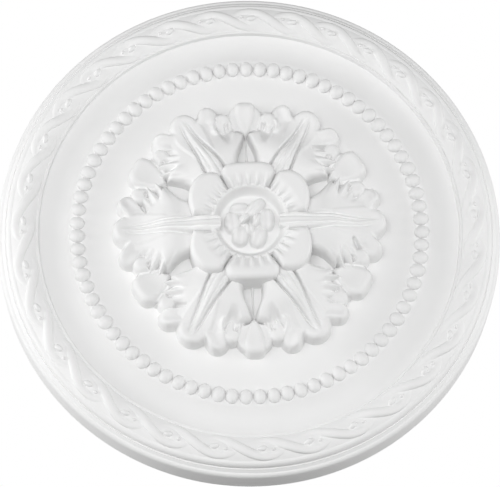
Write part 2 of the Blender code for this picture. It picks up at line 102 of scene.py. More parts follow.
# Bead ring: half sizes of a bead in metres, and how far one bead may differ from the next
BEADS = 79
BEAD_MIDDLE = 0.1369
BEAD = (0.0063, 0.00545, 0.0048)
BEAD_SIZES = (0.96, 1.03)
BEAD_RISES = (0.94, 1.05)
BEAD_STRAY = 0.0002
BEAD_SHIFT = 0.02

# Carving, in metres; from here on places are shares of its reach and heights shares of its rise above
# the field. A form is its root, bend and tip, and its half widths along the way.
REACH = 0.1130
RISE = 0.0315
TURN = math.radians(2.5)
LEAVES = 6
GRID_PITCH = 0.0036
CLIFF = 0.011
BLEND = 0.006
SUNK = -0.06
TINY = 1e-6

# A main leaf: heights along its middle, fall to its sides, half width of its undivided part
SPINE = ((0.28, 0.54), (0.40, 0.64), (0.47, 0.75), (0.53, 0.80), (0.60, 0.76), (0.68, 0.62))
SPINE += ((0.76, 0.49), (0.82, 0.46), (0.90, 0.51), (0.97, 0.59), (1.04, 0.60))
SIDE_FALL = 2.2
BODY = ((0.20, 0.12), (0.36, 0.205), (0.43, 0.205), (0.50, 0.238), (0.55, 0.288), (0.59, 0.322))
BODY += ((0.62, 0.250), (0.66, 0.207), (0.72, 0.190), (0.78, 0.205), (0.86, 0.205), (0.90, 0.17))
BODY_START = 0.20
BODY_END = 0.885
LEAF_EDGE = 0.046
LEAF_EDGE_FALL = 0.24

# Its lobes
TIP_LOBE = ((0, 0.62), (0, 0.75), (0, 0.850), (0.09, 0.110, 0.122, 0.118))
TIP_DISH = 0.05
LIFT_EDGE = 0.03
SECOND_LOBE = ((0.07, 0.70), (0.12, 0.79), (0.190, 0.846), (0.06, 0.075, 0.084, 0.086))
SECOND_CURL = 0.10
SECOND_CURL_SPAN = (0.35, 1.0)
SECOND_DISH = 0.05
SECOND_DISH_WIDTH = 0.45
SECOND_DISH_SPAN = (0.2, 0.7)
FINGERS = (
    ((0.10, 0.655), (0.20, 0.715), (0.318, 0.800), (0.05, 0.050, 0.042, 0.020)),
    ((0.08, 0.595), (0.20, 0.650), (0.344, 0.728), (0.05, 0.052, 0.043, 0.020)),
    ((0.06, 0.530), (0.19, 0.575), (0.338, 0.648), (0.05, 0.055, 0.044, 0.022)),
)
FINGER_LIFT = 0.085
FINGER_LIFT_SPAN = (0.30, 0.75)
FINGER_LIFT_EDGE = 0.02
NICK = ((0.125, 0.722), (0.160, 0.738), (0.205, 0.765), (0.006, 0.011, 0.008))
NICK_DEPTH = 0.16
NICK_WALL = (-0.012, 0.006)

# The side of a leaf that faces the upper or the lower eye: its half width, and its curled lobe
QUIET_BODY = ((0.20, 0.12), (0.36, 0.17), (0.43, 0.182), (0.50, 0.235), (0.55, 0.297), (0.60, 0.338))
QUIET_BODY += ((0.65, 0.300), (0.71, 0.240), (0.78, 0.210), (0.86, 0.205), (0.90, 0.17))
CURL = (0.226, 0.712)
CURL_RADIUS = 0.086
CURL_CREST = 0.064
CURL_CREST_WIDTH = 0.018
CURL_CREST_SPAN = (CURL[1] - 0.045, CURL[1] + 0.01)
CURL_LIFT = 0.12
VALLEY = ((0.185, 0.560), (0.215, 0.630), CURL, (0.012, 0.030, 0.042))
VALLEY_DEPTH = 0.17
VALLEY_WALL = (-0.022, 0.016)
VALLEY_SPAN = (0.55, 0.68)

# The rib on a leaf's middle, with fine lines on it and a groove on either side
RIB = ((0, 0.36), (0, 0.60), (0, 0.90), (0.070, 0.055, 0.030, 0.014))
RIB_SINK = 0.02
RIB_CROWN = 0.10
RIB_TAPER = 0.6
RIB_END = (0.84, 0.93)
RIB_LINE_PLACE = 0.42
RIB_LINE_WIDTH = 0.16
RIB_LINE_DEPTH = 0.05
RIB_LINE_END = (0.5, 0.8)
GROOVE_DEPTH = 0.24
GROOVE_LOSS = 0.12
GROOVE_LOSS_SPAN = (0.40, 0.80)
GROOVE_END = (0.80, 0.90)
GROOVE_OUT = 0.008
GROOVE_WIDTH = 0.009
LEVEL_RIB = ((0, 0.25), (0, 0.60), (0, 0.92), (0.058, 0.046, 0.030, 0.010))
LEVEL_RIB_CLIMB = 0.30
LEVEL_RIB_CLIMB_SPAN = (0.30, 0.52)
LEVEL_RIB_LINE_END = (0.7, 0.95)
LEVEL_GROOVE_SHARE = 0.35

# The leaves that show between the main ones
WEB = ((0, 0.69), (0, 0.74), (0, 0.79), (0.04, 0.140, 0.205, 0.140))
UPRIGHT_WEB = ((0, 0.70), (0, 0.74), (0, 0.79), (0.03, 0.120, 0.200, 0.140))
WEB_HEIGHT = 0.34
WEB_LIFT = 0.04
WEB_LIFT_SPAN = (0.75, 0.90)
WEB_EDGE = 0.03
WEB_EDGE_FALL = 0.10
BACK_EDGE = 0.042
BACK_EDGE_FALL = 0.20
FLANK = ((0.06, 0.66), (0.13, 0.70), (0.165, 0.790), (0.040, 0.056, 0.068, 0.070))
FLANK_HEIGHT = 0.38
FLANK_LIFT = 0.08
FLANK_LIFT_SPAN = (0.2, 1.0)
FLANK_DISH = 0.05
HOLLOW = ((0.080, 0.65), (0.11, 0.69), (0.125, 0.740), (0.018, 0.032, 0.036, 0.030))
HOLLOW_DEPTH = 0.16
HOLLOW_WALL = (-0.004, 0.018)
HOLLOW_LINE = 0.10
HOLLOW_LINE_WIDTH = 0.008
HOLLOW_LINE_EDGE = 0.01

# The blunt shield at the end of each, with its narrow neck
TONGUE_ROOT = 0.60
TONGUE_MIDDLE = 0.80
TONGUE_END = 0.945
TONGUE_HALF = ((0.60, 0.030), (0.68, 0.052), (0.74, 0.080), (0.80, 0.102), (0.90, 0.112), (0.96, 0.108))
TONGUE_BLUNT = 3.4
TONGUE_WIDTH = 1.08
UPRIGHT_TONGUE_WIDTH = 0.80
TONGUE_NECK = 0.08
TONGUE_NECK_SPAN = (0.63, 0.72)
TONGUE_HEIGHT = 0.40
TONGUE_CURL = 0.10
TONGUE_CURL_SPAN = (0.76, 0.93)
TONGUE_DISH = 0.05

# The floor of the eye before each, and the stalk in the upper and the lower eye
EYE_FLOOR = ((0, 0.40), (0, 0.50), (0, 0.66), (0.12, 0.11, 0.07))
EYE_HEIGHT = 0.13
EYE_EDGE = 0.02
EYE_EDGE_FALL = 0.02
STALK = ((0, 0.42), (0, 0.54), (0, 0.70), (0.019, 0.016, 0.008))
STALK_RISE = 0.09
STALK_EDGE = 0.015
STALK_EDGE_FALL = 0.06

# The flower's petals; the four side ones are longer, rounder and lean away from the level ribs
PETAL_END = 0.442
PETAL_BLUNT = 4.2
SIDE_PETAL_END = 0.495
SIDE_PETAL_BLUNT = 2.1
SIDE_PETAL_LEAN = 0.055
PETAL_HALF_WIDTH = 0.205
PETAL_MIDDLE = 0.265
PETAL_HEIGHT = 0.87
PETAL_CLIMB = 0.13
PETAL_CLIMB_END = 0.38
PETAL_SIDE_FALL = 0.7
PETAL_EDGE = 0.040
PETAL_EDGE_FALL = 0.18
PETAL_RIBS = 5
PETAL_RIB_RISE = 0.06
PETAL_RIB_LOW = -0.4
PETAL_RIB_SPAN = (0.28, 0.37)
PETAL_LAP = 0.006
LEVEL_GAP = 0.045

# The bowl and the bud
BOWL = 0.262
BOWL_WALL = 0.02
BOWL_FLOOR = 0.205
BOWL_HEIGHT = 0.50
BOWL_RISE = 0.34
BUD_RADIUS = 0.25
BUD_RISE = 0.20
BUD_PIT = 0.18
BUD_PIT_WIDTH = 0.018
LEAFLET_RISE = 0.26
LEAFLET_BLUNT = 2.4
LEAFLET_ROUND = 0.4
LEAFLET_LINE = 0.04
LEAFLET_LINE_WIDTH = 0.3
BUD_SIDES = 240
BUD_ROWS = 70
BUD_REACH = 0.275
BUD_MIDDLE = 0.002

# Leaflets of the bud: angle in degrees, distance out, half length, half width, spin in degrees, top
BUD_LEAFLETS = (
    (12, 0.118, 0.084, 0.056, 80, 0.85),
    (72, 0.108, 0.092, 0.046, -25, 0.88),
    (128, 0.118, 0.070, 0.054, 60, 0.84),
    (180, 0.120, 0.082, 0.058, 95, 0.87),
    (236, 0.118, 0.074, 0.058, 30, 0.85),
    (300, 0.118, 0.078, 0.058, -50, 0.83),
    (150, 0.047, 0.050, 0.030, 70, 0.90),
    (268, 0.052, 0.048, 0.036, 10, 0.87),
    (22, 0.048, 0.052, 0.032, 50, 0.90),
)

# Which leaves lie level, and which of those between them stand upright, counted from 0. Then the side
# of each leaf that faces the upper or the lower eye, and the side of each petal that a level rib
# passes: 1 on its left, -1 on its right, 0 for neither.
LEVEL_LEAVES = (0, 3)
UPRIGHT_BACK_LEAVES = (1, 4)
QUIET_SIDES = (0, 1, -1, 0, 1, -1)
LEVEL_SIDES = (-1, 0, 1, -1, 0, 1)

# Stretch of the plan that is sampled for a piece: least and greatest places across and along its axis
LEAF_PLAN = ((-0.40, 0.20), (0.40, 1.02))
BACK_LEAF_PLAN = ((-0.25, 0.36), (0.25, 0.97))
PETAL_PLAN = ((-0.23, 0.20), (0.23, 0.51))

# Finish of the casting: places and colours of its two tones, and its roughness between them
CAST_TONES = ((0.3, (0.895, 0.895, 0.893, 1)), (0.7, (0.925, 0.925, 0.923, 1)))
CAST_ROUGHNESS = (0.52, 0.68)
WHITE = (1, 1, 1, 1)
PALE_GREY = (0.80, 0.80, 0.79, 1)

# Soft boxes that face the rose: place and size in metres, and power in watts
SOFT_BOXES = (
    ("left_box", (-1.7, -0.15, 0.05), (1.2, 0.6), 12),
    ("right_box", (1.7, -0.05, 0.05), (1.2, 0.6), 9),
    ("front_box", (-0.4, -3.0, -0.3), (2.0, 2.0), 33),
)

# White surround, bright round the horizon and dim above and below
SURROUND_BRIGHT = 0.97
SURROUND_DIM = 0.04
SURROUND_DIM_FROM = 0.72

# Pale floor, in metres
FLOOR_HALF = 2.0
FLOOR_LEVEL = -2.0

# Camera: how far it stands off square and in which direction round the face, its distance and aim in
# outer radii, its lens and sensor in millimetres, and how far it sees in metres
OFF_AXIS = math.radians(18.0)
BEARING = math.radians(-93.7)
DISTANCE = 13.6
AIM = (0.006, 0.004)
LENS = 243.8
SENSOR = 36
CLIP_END = 50


# Small mesh helpers


def new_piece(name, verts, faces, smooth=True):
    """An object of its own for one piece of the casting or the studio."""
    mesh = bpy.data.meshes.new(name)
    mesh.from_pydata(verts, [], faces)
    mesh.update()
    piece = bpy.data.objects.new(name, mesh)
    bpy.context.scene.collection.objects.link(piece)
    if smooth:
        mesh.shade_smooth()
    return piece


def join_parts(parts):
    """One vertex list and one face list from several."""
    verts = []
    faces = []
    for part_verts, part_faces in parts:
        first = len(verts)
        verts += [tuple(p) for p in part_verts]
        faces += [tuple(first + i for i in face) for face in part_faces]
    return verts, faces


def swept(rings):
    """Faces that join closed rings of as many points, with both ends closed."""
    sides = len(rings[0])
    verts = [p for r in rings for p in r]
    faces = [tuple(range(sides))[::-1]]
    for row in range(len(rings) - 1):
        here = row * sides
        there = here + sides
        for i in range(sides):
            j = (i + 1) % sides
            faces.append((here + i, here + j, there + j, there + i))
    last = (len(rings) - 1) * sides
    faces.append(tuple(range(last, last + sides)))
    return verts, faces


def on_face(angle, radius, height):
    """A point at a polar place of the face and a height above the back."""
    return (radius * math.cos(angle), -height, radius * math.sin(angle))


# The turned rings


def quarter(start, end, steps):
    """Points of a fillet that leaves its start upright and reaches its end level."""
    turns = [math.pi / 2 * i / steps for i in range(steps + 1)]
    return [
        (end[0] + (start[0] - end[0]) * math.cos(t), start[1] + (end[1] - start[1]) * math.sin(t))
        for t in turns
    ]


def sagging(start, end, sag, steps):
    """Points of a hollow between two places."""
    places = [i / steps for i in range(steps + 1)]
    return [
        (start[0] + t * (end[0] - start[0]), start[1] + t * (end[1] - start[1]) - sag * 4 * t * (1 - t))
        for t in places
    ]


def ring_profile():
    """Radius and height along the face, from the back's edge to the middle."""
    soft = CORNER_ROUND
    points = [(OUTER_RADIUS - BACK_CHAMFER, 0.0), (OUTER_RADIUS, BACK_CHAMFER)]
    points += [(OUTER_RADIUS, EDGE_HEIGHT - soft)]
    points += quarter((OUTER_RADIUS - soft / 4, EDGE_HEIGHT + soft / 2), OUTER_SHOULDER, steps=8)
    points += [OUTER_TOP, CREASE]
    points += quarter((CREASE[0] - soft / 2, CREASE[1] + soft), SECOND_TOP, steps=10)
    points += sagging((ROPE_OUTER, ROPE_FOOT), (ROPE_INNER, ROPE_FOOT), -ROPE_CROWN, steps=16)
    points += quarter((STEP_OUTER + soft, ROPE_FOOT + soft), (STEP_OUTER - soft, STEP_HEIGHT), steps=4)
    points += [(STEP_INNER + soft, STEP_HEIGHT), (STEP_INNER, STEP_HEIGHT - soft)]
    points += sagging(COVE_OUTER, COVE_INNER, COVE_SAG, steps=20)
    points += [(BEAD_MIDDLE + BEAD_BED, COVE_INNER[1])]
    points += [(FIELD_RADIUS * t, FIELD_HEIGHT) for t in FIELD_RINGS]
    return points


def moulded_rings():
    """The disc with its plain edge, fillets, cove and field."""
    turns = [2 * math.pi * i / RING_SIDES for i in range(RING_SIDES)]
    rings = [[on_face(t, radius, height) for t in turns] for radius, height in ring_profile()]
    piece = new_piece("moulded_rings", *swept(rings))
    piece.data.set_sharp_from_angle(angle=SHARP_FROM)
    return piece


# The rope band and the beads


def rope_angle(place):
    """Angle of a place along the rope, counted in crossings."""
    unit = 2 * math.pi / CROSSINGS
    drift = ROPE_DRIFT * (math.cos(place * unit - ROPE_DRIFT_FROM) - 1)
    return (place + drift) * unit


def rope_bed(offset):
    """Height of the rope's bed at a distance from its middle, fuller on its inner side."""
    half = (ROPE_OUTER - ROPE_INNER) / 2
    power = 2 if offset > 0 else 4
    return ROPE_FOOT + ROPE_CROWN * (1 - abs(offset / half) ** power)


def strand(crossing):
    """One strand, from under its neighbour over a crossing and round the next eye."""
    sway = (ROPE_OUTER - ROPE_INNER) / 2 - STRAND_HALF
    pitch = 2 * math.pi / CROSSINGS * ROPE_MIDDLE
    rings = []
    for step in range(STRAND_STEPS + 1):
        turn = -1 + 2 * step / STRAND_STEPS
        offset = sway * math.sin(math.pi * turn)
        slope = sway * math.pi * math.cos(math.pi * turn) / pitch
        along = 1 / math.hypot(1, slope)
        centre = rope_angle(crossing + turn)
        height = rope_bed(offset) - STRAND_DIP * (1 - math.cos(math.pi * turn))
        height -= INNER_FLATTER * max(0.0, -offset / sway)
        ring = []
        for i in range(STRAND_SIDES):
            angle = 2 * math.pi * i / STRAND_SIDES
            side = STRAND_HALF * math.cos(angle)
            place = centre - side * slope * along / ROPE_MIDDLE
            radius = ROPE_MIDDLE + offset + side * along
            ring.append(on_face(place, radius, height + STRAND_RISE * math.sin(angle)))
        rings.append(ring)
    return swept(rings)


def ellipsoid(angle, radius, height, sizes, spin=0.0):
    """A rounded bump: half sizes outwards, round the ring and up."""
    rows, sides = 10, 20
    verts = []
    faces = []
    for row in range(1, rows):
        tilt = math.pi * row / rows
        for i in range(sides):
            turn = 2 * math.pi * i / sides
            out = sizes[0] * math.sin(tilt) * math.cos(turn)
            aside = sizes[1] * math.sin(tilt) * math.sin(turn)
            spun_out = out * math.cos(spin) - aside * math.sin(spin)
            spun_aside = out * math.sin(spin) + aside * math.cos(spin)
            up = sizes[2] * math.cos(tilt)
            verts.append(on_face(angle + spun_aside / radius, radius + spun_out, height + up))
    for row in range(rows - 2):
        here = row * sides
        there = here + sides
        for i in range(sides):
            j = (i + 1) % sides
            faces.append((here + j, here + i, there + i, there + j))
    top = len(verts)
    verts.append(on_face(angle, radius, height + sizes[2]))
    verts.append(on_face(angle, radius, height - sizes[2]))
    last = (rows - 2) * sides
    for i in range(sides):
        j = (i + 1) % sides
        faces.append((top, i, j))
        faces.append((top + 1, last + j, last + i))
    return verts, faces


def rope_band():
    """Crossing strands with a berry and a small dot in each eye."""
    bumps = ((BERRY, BERRY_PLACE, BERRY_SHIFT), (DOT, DOT_PLACE, DOT_SHIFT))
    parts = [strand(i) for i in range(CROSSINGS)]
    for i in range(CROSSINGS):
        for sizes, place, shift in bumps:
            angle = rope_angle(i + place)
            parts.append(ellipsoid(angle, ROPE_MIDDLE + shift, rope_bed(0), sizes, BERRY_SPIN))
    return new_piece("rope_band", *join_parts(parts))


def bead_ring():
    """A ring of beads that nearly touch, with small differences from bead to bead."""
    dice = random.Random(7)
    unit = 2 * math.pi / BEADS
    parts = []
    for i in range(BEADS):
        size = dice.uniform(*BEAD_SIZES)
        sizes = (BEAD[0] * size, BEAD[1] * size, BEAD[2] * dice.uniform(*BEAD_RISES))
        radius = BEAD_MIDDLE + dice.uniform(-BEAD_STRAY, BEAD_STRAY)
        angle = (i + dice.uniform(-BEAD_SHIFT, BEAD_SHIFT)) * unit
        parts.append(ellipsoid(angle, radius, COVE_INNER[1], sizes))
    return new_piece("bead_ring", *join_parts(parts))


# Tools for the carving


def curve(form, steps):
    """Points along the middle of a form, from root to tip."""
    root, bend, tip = (np.array(p, float) for p in form[:3])
    t = np.linspace(0, 1, steps + 1)[:, None]
    return (1 - t) ** 2 * root + 2 * t * (1 - t) * bend + t**2 * tip


def measure(form, u, v, steps=14):
    """Distance inside a form's edge, place along it, distance across it and half width, at places."""
    line = curve(form, steps)
    best = np.full(u.shape, np.inf)
    place = np.zeros_like(u)
    across = np.zeros_like(u)
    for i in range(steps):
        (au, av), (bu, bv) = line[i], line[i + 1]
        du, dv = bu - au, bv - av
        length = math.hypot(du, dv)
        t = np.clip(((u - au) * du + (v - av) * dv) / length**2, 0, 1)
        eu, ev = u - au - t * du, v - av - t * dv
        distance = np.hypot(eu, ev)
        nearer = distance < best
        best = np.where(nearer, distance, best)
        place = np.where(nearer, (i + t) / steps, place)
        across = np.where(nearer, (du * ev - dv * eu) / length, across)
    half = np.interp(place, np.linspace(0, 1, len(form[3])), form[3])
    return half - best, place, across, half


def ease(x, low, high):
    """A smooth step from 0 at low to 1 at high."""
    t = np.clip((x - low) / (high - low), 0, 1)
    return t * t * (3 - 2 * t)


def ridge(x, width):
    """A rounded ridge, 1 where x is 0 and faded out at twice the width."""
    return np.exp(-((x / width) ** 2))


def smooth_curve(x, points):
    """A smooth line through points, by cubic pieces that share their slope where they meet."""
    px = np.array([p[0] for p in points], float)
    py = np.array([p[1] for p in points], float)
    slopes = np.gradient(py, px)
    i = np.clip(np.searchsorted(px, x) - 1, 0, len(px) - 2)
    h = px[i + 1] - px[i]
    t = np.clip((x - px[i]) / h, 0, 1)
    start = 2 * t**3 - 3 * t**2 + 1
    start_slope = t**3 - 2 * t**2 + t
    end = -2 * t**3 + 3 * t**2
    end_slope = t**3 - t**2
    return start * py[i] + start_slope * h * slopes[i] + end * py[i + 1] + end_slope * h * slopes[i + 1]


def union(*insides):
    """Inside distance of joined forms, softly rounded where they meet."""
    stack = np.stack(insides) / BLEND
    top = stack.max(axis=0)
    return (top + np.log(np.exp(stack - top).sum(axis=0))) * BLEND


def standing(inside, top, edge, fall):
    """A form that stands up from below the field, with an upright side and a rounded upper edge."""
    x = np.clip((inside - CLIFF) / edge, 0, 1)
    rounded = top - fall * (1 - np.sqrt(np.clip(1 - (1 - x) ** 2, 0, 1)))
    return SUNK + (rounded - SUNK) * ease(inside, 0, CLIFF)


# The main leaves


def finger(form, u, v):
    """Inside distance and crown of a rounded finger at the leaf's side."""
    inside, place, across, half = measure(form, u, v)
    crown = FINGER_LIFT * (1 - np.clip(across / half, -1, 1) ** 2) * ease(place, *FINGER_LIFT_SPAN)
    return inside, crown * ease(inside, 0, FINGER_LIFT_EDGE)


def spoon(u, v):
    """Inside distance and crown of the second lobe, a broad spoon that curls up at its tip."""
    inside, place, across, half = measure(SECOND_LOBE, u, v)
    curl = SECOND_CURL * ease(place, *SECOND_CURL_SPAN)
    dish = SECOND_DISH * ridge(across / half, SECOND_DISH_WIDTH) * ease(place, *SECOND_DISH_SPAN)
    return inside, (curl - dish) * ease(inside, 0, LIFT_EDGE)


def curled(u, v):
    """Inside distance and crown of the lobe that curls back round a hollow, open to the root."""
    out = np.hypot(u - CURL[0], v - CURL[1])
    crest = ridge(out - CURL_CREST, CURL_CREST_WIDTH) * ease(v, *CURL_CREST_SPAN)
    valley = measure(VALLEY, u, v)[0]
    hollow = VALLEY_DEPTH * ease(valley, *VALLEY_WALL) * ease(v, *VALLEY_SPAN)
    return CURL_RADIUS - out, CURL_LIFT * crest - hollow


def side_lobes(u, v, quiet):
    """Inside distances and crowns of the lobes along one side of a leaf."""
    lobes = [spoon(u, v)]
    if not quiet:
        lobes += [finger(form, u, v) for form in FINGERS]
    return lobes


def leaf_height(u, v, level, quiet):
    """Height of one main leaf; quiet is 1 or -1 for the side with the curled lobe, or 0."""
    surface = smooth_curve(v, SPINE) - SIDE_FALL * u**2
    half = smooth_curve(v, BODY)
    if quiet:
        half = np.where(u * quiet > 0, smooth_curve(v, QUIET_BODY), half)
    outline = [np.minimum(half - np.abs(u), np.minimum(v - BODY_START, BODY_END - v))]
    inside, _, across, half = measure(TIP_LOBE, u, v)
    outline.append(inside)
    crown = TIP_DISH * (across / half) ** 2 * ease(inside, 0, LIFT_EDGE)
    for side in (1, -1):
        for inside, lift in side_lobes(side * u, v, side == quiet):
            outline.append(inside)
            crown = np.maximum(crown, lift)
        if side != quiet:
            nick = measure(NICK, side * u, v)[0]
            crown = crown - NICK_DEPTH * ease(nick, *NICK_WALL)
    if quiet:
        inside, curl = curled(quiet * u, v)
        outline.append(inside)
        crown = crown + curl
    height = standing(union(*outline), surface + crown, LEAF_EDGE, LEAF_EDGE_FALL)
    return with_rib(height, surface, u, v, level)


def with_rib(height, surface, u, v, level):
    """A leaf with the middle rib between its two grooves; a level rib climbs to the bowl."""
    inside, place, across, half = measure(LEVEL_RIB if level else RIB, u, v)
    depth = (GROOVE_DEPTH - GROOVE_LOSS * ease(v, *GROOVE_LOSS_SPAN)) * (1 - ease(v, *GROOVE_END))
    if level:
        depth = depth * LEVEL_GROOVE_SHARE
        surface = surface + LEVEL_RIB_CLIMB * (1 - ease(v, *LEVEL_RIB_CLIMB_SPAN))
    groove = ridge(inside + GROOVE_OUT, GROOVE_WIDTH) * depth
    line_end = LEVEL_RIB_LINE_END if level else RIB_LINE_END
    lines = ridge(np.abs(across) / half - RIB_LINE_PLACE, RIB_LINE_WIDTH)
    rib = surface - RIB_SINK + RIB_CROWN * (1 - (across / half) ** 2) * (1 - RIB_TAPER * place)
    rib -= RIB_LINE_DEPTH * lines * (1 - ease(v, *line_end))
    fade = 1 - ease(v, *RIB_END)
    blended = np.where(inside > 0, rib * fade + height * (1 - fade), height - groove)
    return np.where(height > 0, blended, height)


# The leaves behind them


def tongue_height(u, v, width):
    """Height of the blunt shield at the end of a back leaf, which curls up at its edge."""
    half = smooth_curve(v, TONGUE_HALF) * width
    across = np.abs(u) / half
    along = np.clip(v - TONGUE_MIDDLE, 0, 1) / (TONGUE_END - TONGUE_MIDDLE)
    inside = (1 - (across**TONGUE_BLUNT + along**TONGUE_BLUNT) ** (1 / TONGUE_BLUNT)) * half
    top = TONGUE_HEIGHT + TONGUE_CURL * ease(v, *TONGUE_CURL_SPAN) + TONGUE_DISH * across**2
    return np.where(v > TONGUE_ROOT, standing(inside, top, BACK_EDGE, BACK_EDGE_FALL), SUNK)


def flank_height(u, v):
    """Height of the flank on one side of a back leaf."""
    inside, place, across, half = measure(FLANK, u, v)
    top = FLANK_HEIGHT + FLANK_LIFT * ease(place, *FLANK_LIFT_SPAN) + FLANK_DISH * (across / half) ** 2
    return standing(inside, top, BACK_EDGE, BACK_EDGE_FALL)


def with_hollow(height, u, v):
    """A back leaf with the hollow beside its shield on one side, and a line along the hollow."""
    inside, _, across, _ = measure(HOLLOW, u, v)
    pit = HOLLOW_DEPTH * ease(inside, *HOLLOW_WALL)
    line = HOLLOW_LINE * ridge(across, HOLLOW_LINE_WIDTH) * ease(inside, 0, HOLLOW_LINE_EDGE)
    return np.where(inside > HOLLOW_WALL[0], height - pit + line, height)


def back_leaf_height(u, v, upright):
    """Height of one leaf that stands behind two main ones, with the floor of the eye before it."""
    inside = measure(UPRIGHT_WEB if upright else WEB, u, v)[0]
    height = standing(inside, WEB_HEIGHT + WEB_LIFT * ease(v, *WEB_LIFT_SPAN), WEB_EDGE, WEB_EDGE_FALL)
    eye = standing(measure(EYE_FLOOR, u, v)[0], EYE_HEIGHT, EYE_EDGE, EYE_EDGE_FALL)
    height = np.maximum(height, eye)
    for side in (u, -u):
        height = np.maximum(height, flank_height(side, v))
    for side in (u, -u):
        height = with_hollow(height, side, v)
    neck = TONGUE_NECK + (1 - TONGUE_NECK) * ease(v, *TONGUE_NECK_SPAN)
    width = (UPRIGHT_TONGUE_WIDTH if upright else TONGUE_WIDTH) * neck
    height = np.maximum(height, tongue_height(u, v, width))
    if not upright:
        return height
    inside = measure(STALK, u, v)[0]
    return np.maximum(height, standing(inside, EYE_HEIGHT + STALK_RISE, STALK_EDGE, STALK_EDGE_FALL))


# The flower


def petal_height(u, v, level_side):
    """Height of one petal, ribbed at its inner end and cut back where a level rib passes it."""
    reach = (SIDE_PETAL_END if level_side else PETAL_END) - PETAL_MIDDLE
    blunt = SIDE_PETAL_BLUNT if level_side else PETAL_BLUNT
    along = np.clip(v - PETAL_MIDDLE, 0, 1) / reach
    across = np.abs(u + level_side * SIDE_PETAL_LEAN * along) / PETAL_HALF_WIDTH
    outer = (1 - (across**blunt + along**blunt) ** (1 / blunt)) * reach
    sector = v * math.sin(math.pi / LEAVES) - np.abs(u) * math.cos(math.pi / LEAVES)
    sector += np.where(u * level_side > 0, -LEVEL_GAP, PETAL_LAP)
    radius = np.hypot(u, v)
    inside = np.minimum(np.minimum(outer, sector), radius - BOWL + BOWL_WALL)
    ribs = np.clip(np.cos(np.arctan2(u, v) * LEAVES * PETAL_RIBS), PETAL_RIB_LOW, 1)
    ribs = PETAL_RIB_RISE * ribs * (1 - ease(radius, *PETAL_RIB_SPAN))
    climb = PETAL_CLIMB * ease(radius, BOWL, PETAL_CLIMB_END)
    top = PETAL_HEIGHT + climb - PETAL_SIDE_FALL * u**2 + ribs
    return standing(inside, top, PETAL_EDGE, PETAL_EDGE_FALL)


def bud_height(x, y):
    """Height of the bowl and of the folded leaflets of the bud."""
    radius = np.hypot(x, y)
    height = BOWL_HEIGHT + BOWL_RISE * ease(radius, BOWL_FLOOR, BOWL)
    height = height + BUD_RISE * np.clip(1 - (radius / BUD_RADIUS) ** 2, 0, 1) ** 2
    for angle, middle, length, width, spin, top in BUD_LEAFLETS:
        place = math.radians(angle)
        turn = math.radians(angle + spin)
        dx = x - middle * math.cos(place)
        dy = y - middle * math.sin(place)
        along = (dx * math.cos(turn) + dy * math.sin(turn)) / length
        across = (-dx * math.sin(turn) + dy * math.cos(turn)) / width
        inside = 1 - np.abs(along) ** LEAFLET_BLUNT - np.abs(across) ** LEAFLET_BLUNT
        leaflet = top - LEAFLET_RISE + LEAFLET_RISE * np.clip(inside, 0, 1) ** LEAFLET_ROUND
        leaflet -= LEAFLET_LINE * ridge(across, LEAFLET_LINE_WIDTH)
        height = np.where(inside > 0, np.maximum(height, leaflet), height)
    return height - BUD_PIT * ridge(radius, BUD_PIT_WIDTH)


# Meshes of the carving


def patch(name, plan, height, angle):
    """A piece of the relief over a grid, kept where it stands above the field, and closed below."""
    (low_u, low_v), (high_u, high_v) = plan
    us = np.arange(low_u, high_u + GRID_PITCH, GRID_PITCH)
    vs = np.arange(low_v, high_v + GRID_PITCH, GRID_PITCH)
    v, u = np.meshgrid(vs, us, indexing="ij")
    h = height(u, v)
    up = h > SUNK + TINY
    keep = up[:-1, :-1] | up[1:, :-1] | up[:-1, 1:] | up[1:, 1:]
    index = np.arange(h.size).reshape(h.shape)
    quads = np.stack([index[:-1, :-1], index[1:, :-1], index[1:, 1:], index[:-1, 1:]], -1)[keep]
    used, quads = np.unique(quads, return_inverse=True)
    quads = quads.reshape(-1, 4)
    u, v, h = u.ravel()[used], v.ravel()[used], h.ravel()[used]
    x = (v * math.cos(angle) - u * math.sin(angle)) * REACH
    z = (v * math.sin(angle) + u * math.cos(angle)) * REACH
    y = -(FIELD_HEIGHT + h * RISE)
    piece = new_piece(name, np.stack([x, y, z], -1).tolist(), quads.tolist())
    close_below(piece)
    return piece


def close_below(piece):
    """Closes a patch under the field with flat faces."""
    bm = bmesh.new()
    bm.from_mesh(piece.data)
    rim = [e for e in bm.edges if e.is_boundary]
    bmesh.ops.triangle_fill(bm, edges=rim, use_dissolve=False)
    bmesh.ops.recalc_face_normals(bm, faces=bm.faces)
    bm.to_mesh(piece.data)
    bm.free()


def axis(place):
    """Angle of an axis of the carving: leaf i lies at place i, and what lies after it at i + 1/2."""
    return TURN + 2 * math.pi * place / LEAVES


def main_leaves():
    """The six leaves, whose middle ribs reach the bowl on the level and end at the petals elsewhere."""
    pieces = []
    for i in range(LEAVES):
        level = i in LEVEL_LEAVES
        quiet = QUIET_SIDES[i]
        name = f"acanthus_leaf_{i + 1}"
        pieces.append(patch(name, LEAF_PLAN, lambda u, v: leaf_height(u, v, level, quiet), axis(i)))
    return pieces


def back_leaves():
    """The six leaves that show between the main ones, two of them upright, above and below."""
    pieces = []
    for i in range(LEAVES):
        upright = i in UPRIGHT_BACK_LEAVES
        name = f"back_leaf_{i + 1}"
        angle = axis(i + 0.5)
        pieces.append(patch(name, BACK_LEAF_PLAN, lambda u, v: back_leaf_height(u, v, upright), angle))
    return pieces


def petals():
    """The six petals of the open flower."""
    pieces = []
    for i in range(LEAVES):
        side = LEVEL_SIDES[i]
        name = f"petal_{i + 1}"
        pieces.append(patch(name, PETAL_PLAN, lambda u, v: petal_height(u, v, side), axis(i + 0.5)))
    return pieces


